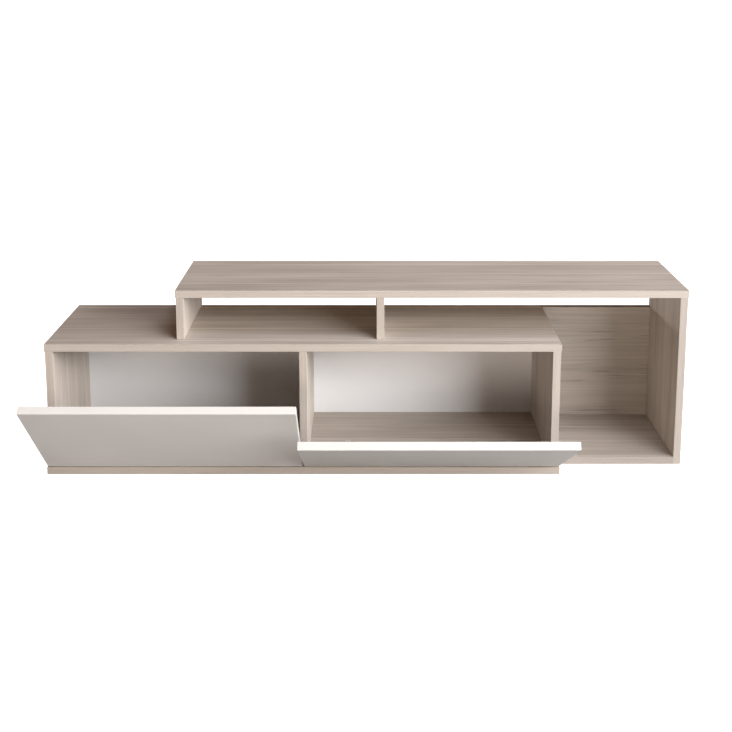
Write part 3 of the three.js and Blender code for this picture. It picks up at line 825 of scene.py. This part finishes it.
def faced_board(node, sizes, colours):
    """A board with its decor on both faces, banded edges and bores for its fasteners."""
    thickness, grain, plank_width, veins, seams, painted_shading, offset = BOARDS[node]
    across = next(axis for axis in "XYZ" if axis not in (thickness, grain))
    low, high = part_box(node)
    piece_mesh = rounded_box(low, high, sizes.board_edge)
    for face in piece_mesh.faces:
        main = max(range(3), key=lambda i: abs(face.normal[i]))
        axis = "XYZ"[main]
        if abs(face.normal[main]) > 0.99 and axis == thickness:
            face.material_index = 0
        else:
            face.material_index = 1 if axis != grain else 2
    axes = grain + across + thickness
    name = f"ash_decor_{node}"
    decor = ash_decor(name, axes, offset, plank_width, veins, seams, painted_shading, colours)
    bands = [
        ash_edge_band(f"ash_edge_band_{node}_{run}", run + others, painted_shading, colours)
        for run, others in ((grain, across + thickness), (across, grain + thickness))
    ]
    core = finish_of("raw_chipboard", raw_chipboard, colours)
    piece = object_from(piece_mesh, f"{node}_faced", [decor, *bands, core])
    cutter = fastener_cutter(node, sizes.clearance)
    if cutter:
        subtract(piece, cutter)
    hand_over(piece, STAND, "wood_decor", node)


class TVSTAND_OT_boards(bpy.types.Operator):
    """Make the melamine-faced boards with their edge banding and bores"""

    bl_idname = "tvstand.boards"
    bl_label = "Boards"

    def execute(self, context):
        for node in BOARDS:
            faced_board(node, context.scene.tv_stand_sizes, context.scene.tv_stand_colours)
        return {"FINISHED"}


# ---- Back panel -------------------------------------------------------------------------------


class TVSTAND_OT_back_panel(bpy.types.Operator):
    """Make the hardboard back panel and the nails that hold it"""

    bl_idname = "tvstand.back_panel"
    bl_label = "Back panel"

    def execute(self, context):
        sizes, colours = context.scene.tv_stand_sizes, context.scene.tv_stand_colours
        low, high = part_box(BACK_PANEL)
        panel_mesh = rounded_box(low, high, sizes.panel_edge, segments=2)
        for face in panel_mesh.faces:
            face.material_index = 0 if face.normal.y < -0.99 else 1
        paint = finish_of("painted_hardboard", painted_hardboard, colours)
        bare = finish_of("bare_hardboard", bare_hardboard, colours)
        panel = object_from(panel_mesh, f"{BACK_PANEL}_painted", [paint, bare])

        tree = nail_tree()
        width = high.x - low.x - 2 * sizes.nail_inset
        height = high.z - low.z - 2 * sizes.nail_inset
        flat = sizes.nail_flatness
        centre = Vector(((low.x + high.x) / 2, high.y, (low.z + high.z) / 2))
        shared = {"Width": width, "Height": height, "Pitch": sizes.nail_pitch, "Flat": flat}
        wide = sizes.nail_radius * DIMPLE
        dimples = run_tree(tree, "nail_dimples", [centre], Radius=wide, Material=bare, **shared)
        subtract(panel, dimples)
        steel = zinc_finish(colours)
        sunk = centre - Vector((0, sizes.nail_radius * flat, 0))
        shared["Radius"] = sizes.nail_radius
        nails = run_tree(tree, "back_panel_nails", [sunk], Material=steel, **shared)
        smooth_by_angle(nails.data, 40)
        hand_over(panel, STAND, "white_hardboard", BACK_PANEL)
        hand_over(nails, STAND, "screw_steel")
        return {"FINISHED"}


# ---- Doors ------------------------------------------------------------------------------------


class TVSTAND_OT_doors(bpy.types.Operator):
    """Make the white doors, bored for their hinge cups"""

    bl_idname = "tvstand.doors"
    bl_label = "Doors"

    def execute(self, context):
        sizes, colours = context.scene.tv_stand_sizes, context.scene.tv_stand_colours
        for door, (joint_name, body, _links, hinges) in DOORS.items():
            joint = JOINTS[joint_name]
            low, high = box_when_closed(door, joint)
            materials = [
                finish_of("white_melamine", white_melamine, colours),
                finish_of("raw_chipboard", raw_chipboard, colours),
            ]
            piece = object_from(rounded_box(low, high, sizes.door_edge), f"{door}_faced", materials)
            bores = bmesh.new()
            for hinge in hinges:
                cup_low, cup_high = box_when_closed(f"{hinge}_cup", joint)
                centre = middle(cup_low, cup_high)
                radius = (cup_high.z - cup_low.z) / 2 + sizes.clearance
                floor, mouth = cup_low.y - sizes.clearance, high.y + sizes.clearance
                place = Matrix.Translation((centre.x, 0, centre.z)) @ ONTO["Y"]
                profile = ((0, floor), (radius, floor), (radius, mouth), (0, mouth))
                lathe(bores, profile, 64, place, material_index=1)
            subtract(piece, object_from(bores, f"{door}_bores"))
            turn_to_rest(piece, joint)
            hand_over(piece, body, "white_door", door)
        return {"FINISHED"}


# ---- Hinges -----------------------------------------------------------------------------------


def pressed_copy(node, radius, material):
    """A merged copy of a hinge part's mesh with rounded edges."""
    bm = bmesh.new()
    bm.from_mesh(frame["nodes"][node].data)
    bmesh.ops.remove_doubles(bm, verts=bm.verts[:], dist=0.001 * MM)
    bmesh.ops.dissolve_limit(bm, angle_limit=math.radians(1), verts=bm.verts[:], edges=bm.edges[:])
    piece = object_from(bm, f"{node}_plated")
    piece.data.materials.clear()
    piece.data.materials.append(material)
    for polygon in piece.data.polygons:
        polygon.material_index = 0
    modifier = piece.modifiers.new("edges", "BEVEL")
    modifier.width = radius
    modifier.segments = 2
    modifier.limit_method = "ANGLE"
    modifier.angle_limit = math.radians(40)
    modifier.use_clamp_overlap = True
    apply_modifiers(piece)
    smooth_by_angle(piece.data, 35)
    return piece


def hinge_cup(node, joint, door_inner, wall, material):
    """A pressed cup with a rolled rim, and a wing with a rounded outline at each side."""
    low, high = box_when_closed(node, joint)
    centre = middle(low, high)
    radius = (high.z - low.z) / 2
    inside = radius - wall
    depth = door_inner - low.y
    lip = wall / 2
    # The cup's rounded corners are steps of a few walls' thickness.
    profile = [(0, 0), (radius - 2 * wall, 0), (radius - 0.6 * wall, 0.6 * wall)]
    profile += [(radius, 2 * wall), (radius, depth - lip)]
    profile += [(radius - lip, depth), (inside, depth - lip)]
    profile += [(inside, 2.5 * wall), (inside - 0.6 * wall, 1.5 * wall), (inside - 2 * wall, wall)]
    profile += [(0, wall)]
    bm = bmesh.new()
    place = Matrix.Translation((centre.x, low.y, centre.z)) @ ONTO["Y"]
    lathe(bm, profile, 64, place)
    for side in (-1, 1):
        tip = (high.x - low.x) / 2
        half = wall * 5.5
        root = inside - 0.2 * wall
        steps = [math.radians(a) for a in range(-90, 91, 15)]
        round_end = [((tip - half) + half * math.cos(a), half * math.sin(a)) for a in steps]
        outline = [(root, -half), *round_end, (root, half)]
        # The wing stays just clear of the door.
        back_y = door_inner + 0.15 * (high.y - door_inner)
        back = [bm.verts.new((centre.x + side * u, back_y, centre.z + v)) for u, v in outline]
        plate = bm.faces.new(back)
        lifted = bmesh.ops.extrude_face_region(bm, geom=[plate])
        grown = [item for item in lifted["geom"] if isinstance(item, bmesh.types.BMVert)]
        bmesh.ops.translate(bm, verts=grown, vec=(0, high.y - back_y, 0))
    bmesh.ops.recalc_face_normals(bm, faces=bm.faces[:])
    piece = object_from(bm, f"{node}_plated", [material])
    turn_to_rest(piece, joint)
    smooth_by_angle(piece.data, 35)
    return piece


class TVSTAND_OT_hinges(bpy.types.Operator):
    """Make the nickel-plated hinges: cups, links, arms and mounting plates"""

    bl_idname = "tvstand.hinges"
    bl_label = "Hinges"

    def execute(self, context):
        sizes, colours = context.scene.tv_stand_sizes, context.scene.tv_stand_colours
        nickel = finish_of("nickel_plated_steel", plated_steel, colours.nickel, 0.38)
        for door, (joint_name, body, links, hinges) in DOORS.items():
            joint = JOINTS[joint_name]
            door_inner = box_when_closed(door, joint)[1].y
            for hinge in hinges:
                for part, carrier in (("plate", STAND), ("arm", STAND), ("link", links)):
                    node = f"{hinge}_{part}"
                    piece = pressed_copy(node, sizes.metal_edge, nickel)
                    hand_over(piece, carrier, "hinge_steel", node)
                node = f"{hinge}_cup"
                cup = hinge_cup(node, joint, door_inner, sizes.cup_wall, nickel)
                hand_over(cup, body, "hinge_steel", node)
        return {"FINISHED"}


class TVSTAND_OT_hinge_screws(bpy.types.Operator):
    """Put cross-recess screws in the hinges' plates, arms and cup wings"""

    bl_idname = "tvstand.hinge_screws"
    bl_label = "Hinge screws"

    def execute(self, context):
        sizes, colours = context.scene.tv_stand_sizes, context.scene.tv_stand_colours
        steel = zinc_finish(colours)
        tree = screw_head_tree()
        shared = {"Radius": sizes.head_radius, "Height": sizes.head_height, "Material": steel}
        inset = SCREW_INSET * sizes.head_radius
        for door, (joint_name, body, _links, hinges) in DOORS.items():
            joint = JOINTS[joint_name]
            on_stand, on_door = [], []
            for hinge in hinges:
                plate = f"{hinge}_plate"
                plate_low, plate_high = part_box(plate)
                arm_low, arm_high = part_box(f"{hinge}_arm")
                cup_low, cup_high = box_when_closed(f"{hinge}_cup", joint)
                # The plate's corners lie at its base's underside and top, and at its rib's top.
                base_top = levels(plate, 2)[1]
                ears_y = levels(plate, 1, lambda place: place.x < plate_low.x + inset)
                for x in (plate_low.x + inset, plate_high.x - inset):
                    on_stand.append((x, (ears_y[0] + ears_y[-1]) / 2, base_top))
                for share in ARM_SCREWS:
                    y = arm_low.y + share * (arm_high.y - arm_low.y)
                    on_stand.append(((arm_low.x + arm_high.x) / 2, y, arm_high.z))
                for x in (cup_low.x + inset, cup_high.x - inset):
                    on_door.append((x, cup_high.y, (cup_low.z + cup_high.z) / 2))
            side = door.split("_")[0]
            fixed = run_tree(tree, f"{side}_hinge_screws", on_stand, Turn=(0, 0, 0), **shared)
            hand_over(fixed, STAND, "screw_steel")
            facing = (math.radians(-90), 0, 0)
            swung = run_tree(tree, f"{side}_door_screws", on_door, Turn=facing, **shared)
            turn_to_rest(swung, joint)
            hand_over(swung, body, "screw_steel")
        return {"FINISHED"}


# ---- Fasteners --------------------------------------------------------------------------------


class TVSTAND_OT_fasteners(bpy.types.Operator):
    """Make the fluted dowels and the furniture screws inside the boards"""

    bl_idname = "tvstand.fasteners"
    bl_label = "Dowels and screws"

    def execute(self, context):
        sizes, colours = context.scene.tv_stand_sizes, context.scene.tv_stand_colours
        steel = zinc_finish(colours)
        tree = dowel_tree()
        for axis, axes, turn in (("Z", "ZXY", (0, 0, 0)), ("X", "XYZ", (0, math.radians(90), 0))):
            beech = finish_of(f"turned_beech_{axis}", turned_beech, axes, colours)
            nodes = [node for node in DOWELS if long_axis(*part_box(node)) == axis]
            low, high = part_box(nodes[0])
            size = high - low
            points = [middle(*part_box(node)) for node in nodes]
            shape = {"Radius": size.y / 2, "Length": max(size), "Chamfer": sizes.dowel_chamfer}
            name = f"dowels_along_{axis}"
            dowels = run_tree(tree, name, points, Turn=turn, Material=beech, **shape)
            smooth_by_angle(dowels.data, 30)
            hand_over(dowels, STAND, "dowel_wood", *nodes)

        low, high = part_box(SCREWS[0])
        head, shank, head_height = screw_sizes(SCREWS[0])
        points = []
        for node in SCREWS:
            node_low, node_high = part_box(node)
            centre = middle(node_low, node_high)
            points.append((centre.x, centre.y, node_low.z))
        shape = {"Radius": shank, "Length": high.z - low.z, "Pitch": sizes.thread_pitch}
        shape |= {"HeadRadius": head, "HeadHeight": head_height, "Tip": sizes.screw_tip}
        screws = run_tree(screw_tree(), "furniture_screws", points, Material=steel, **shape)
        smooth_by_angle(screws.data, 35)
        hand_over(screws, STAND, "screw_steel", *SCREWS)
        return {"FINISHED"}


# ---- Stage ------------------------------------------------------------------------------------


def soft_light(name, stage, colours):
    """A rectangular soft light that faces the middle of the stand. The camera doesn't see it, and
    the low back light leaves no gloss on the tops."""
    turn, rise, distance, width, height, power_name, tint_name = LIGHTS[name]
    aim = Vector((0, 0, stage.aim_height))
    turned = Matrix.Rotation(math.radians(turn), 3, "Z")
    raised = Matrix.Rotation(math.radians(-rise), 3, "X")
    away = turned @ raised @ Vector((0, -distance, 0))
    light = bpy.data.lights.new(name, "AREA")
    light.shape = "RECTANGLE"
    light.size = width
    light.size_y = height
    light.energy = getattr(stage, power_name)
    light.color = getattr(colours, tint_name)
    lamp = bpy.data.objects.new(name, light)
    lamp.location = aim + away
    lamp.rotation_euler = away.to_track_quat("Z", "Y").to_euler()
    lamp.visible_camera = False
    lamp.visible_glossy = name != "back_light"
    bpy.context.scene.collection.objects.link(lamp)


def studio_world(stage, colours):
    """White behind everything that the camera sees, and a weak warm light from all around."""
    world = bpy.data.worlds.new("studio")
    world.use_nodes = True
    tree = world.node_tree
    tree.nodes.clear()
    white = add_node(tree, "ShaderNodeBackground", {"Strength": 1.0, "Color": (1, 1, 1, 1)})
    warm = {"Color": (*colours.fill, 1.0), "Strength": stage.fill_strength}
    fill = add_node(tree, "ShaderNodeBackground", warm)
    seen = add_node(tree, "ShaderNodeLightPath").outputs["Is Camera Ray"]
    both = add_node(tree, "ShaderNodeMixShader", {0: seen, 1: fill, 2: white})
    add_node(tree, "ShaderNodeOutputWorld", {"Surface": both})
    bpy.context.scene.world = world


class TVSTAND_OT_stage(bpy.types.Operator):
    """Make the studio floor, the lights and the camera"""

    bl_idname = "tvstand.stage"
    bl_label = "Stage"

    def execute(self, context):
        stage, colours = context.scene.tv_stand_stage, context.scene.tv_stand_colours
        bm = bmesh.new()
        bmesh.ops.create_grid(bm, x_segments=8, y_segments=8, size=stage.floor_reach)
        paint = studio_floor("painted_floor", stage.floor_grey, colours)
        floor = object_from(bm, "studio_floor", [paint])

        for name in LIGHTS:
            soft_light(name, stage, colours)
        studio_world(stage, colours)

        lens = bpy.data.cameras.new("camera")
        lens.lens = stage.camera_lens
        lens.sensor_width = stage.camera_sensor
        lens.shift_x = stage.shift_x
        lens.shift_y = stage.shift_y
        lens.clip_end = stage.camera_reach
        camera = bpy.data.objects.new("camera", lens)
        camera.location = stage.camera_place
        camera.rotation_euler = (math.radians(90) - stage.camera_pitch, 0, 0)
        context.scene.collection.objects.link(camera)
        context.scene.camera = camera
        context.scene.view_settings.view_transform = "Standard"
        context.scene.view_settings.look = "Medium High Contrast"
        return {"FINISHED"}


# ---- Sidebar and running ----------------------------------------------------------------------

OPERATORS = (
    TVSTAND_OT_boards,
    TVSTAND_OT_back_panel,
    TVSTAND_OT_doors,
    TVSTAND_OT_hinges,
    TVSTAND_OT_hinge_screws,
    TVSTAND_OT_fasteners,
    TVSTAND_OT_stage,
)


class TVSTAND_PT_sidebar(bpy.types.Panel):
    """Lists the stand's pieces and settings in the 3D view's sidebar"""

    bl_idname = "TVSTAND_PT_sidebar"
    bl_label = "TV Stand"
    bl_space_type = "VIEW_3D"
    bl_region_type = "UI"
    bl_category = "TV Stand"

    def draw(self, context):
        column = self.layout.column()
        for operator in OPERATORS:
            column.operator(operator.bl_idname)
        for group in ("tv_stand_sizes", "tv_stand_colours", "tv_stand_stage"):
            settings = getattr(context.scene, group)
            for name in settings.__annotations__:
                column.prop(settings, name)


SETTINGS = {
    "tv_stand_sizes": TvStandSizes,
    "tv_stand_colours": TvStandColours,
    "tv_stand_stage": TvStandStage,
}


def register():
    for name, group in SETTINGS.items():
        bpy.utils.register_class(group)
        setattr(bpy.types.Scene, name, bpy.props.PointerProperty(type=group))
    for cls in (*OPERATORS, TVSTAND_PT_sidebar):
        bpy.utils.register_class(cls)


def unregister():
    for cls in reversed((*OPERATORS, TVSTAND_PT_sidebar)):
        bpy.utils.unregister_class(cls)
    for name, group in SETTINGS.items():
        delattr(bpy.types.Scene, name)
        bpy.utils.unregister_class(group)


def main():
    register()
    bpy.ops.tvstand.stage()
    bpy.ops.tvstand.boards()
    bpy.ops.tvstand.back_panel()
    bpy.ops.tvstand.doors()
    bpy.ops.tvstand.hinges()
    bpy.ops.tvstand.hinge_screws()
    bpy.ops.tvstand.fasteners()
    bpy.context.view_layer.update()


if __name__ == "__main__":
    main()
